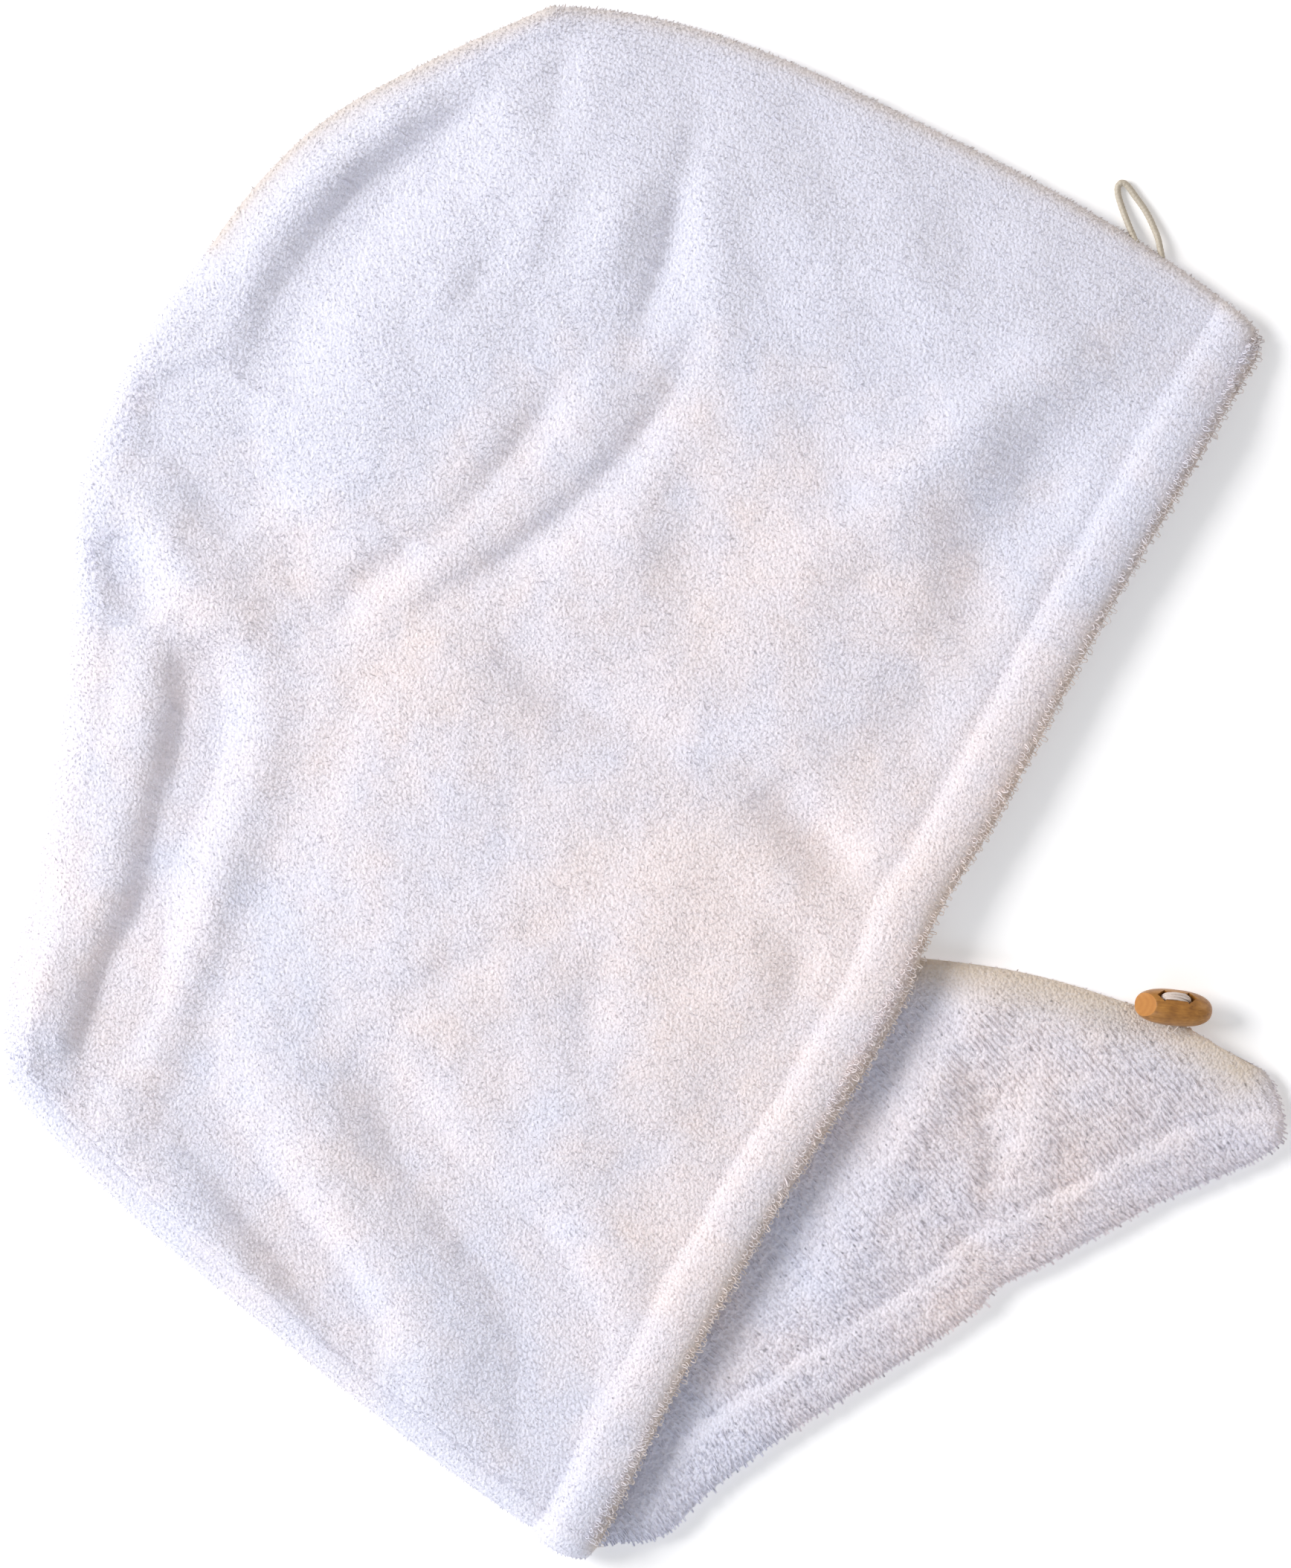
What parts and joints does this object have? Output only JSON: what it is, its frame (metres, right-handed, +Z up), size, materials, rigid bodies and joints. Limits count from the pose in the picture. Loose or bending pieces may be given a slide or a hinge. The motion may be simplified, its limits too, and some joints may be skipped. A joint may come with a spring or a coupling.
{
  "type": "hair turban towel",
  "caption": "Terry hair turban lying flat and folded once: a sewn pocket open along a straight hem, with an elastic loop at the nape and a wooden toggle at the tail's tip",
  "frame": {"origin": "middle of the turban's footprint, on the surface that it lies on", "axes": "+Z up off the surface, +Y towards the crown, +X towards the open hem and the tail's tip"},
  "size_m": [0.3686, 0.4492, 0.0167],
  "materials": {
    "terry": "white cotton terry, looped pile",
    "elastic": "grey-beige braided elastic cord",
    "toggle_wood": "lightly oiled bamboo or light wood",
    "thread": "white cotton thread bundle"
  },
  "bodies": {
    "root": {"front_panel": "terry", "back_panel": "terry", "elastic_loop": "elastic", "toggle_button": "toggle_wood", "toggle_thread": "thread"}
  },
  "joints": []
}
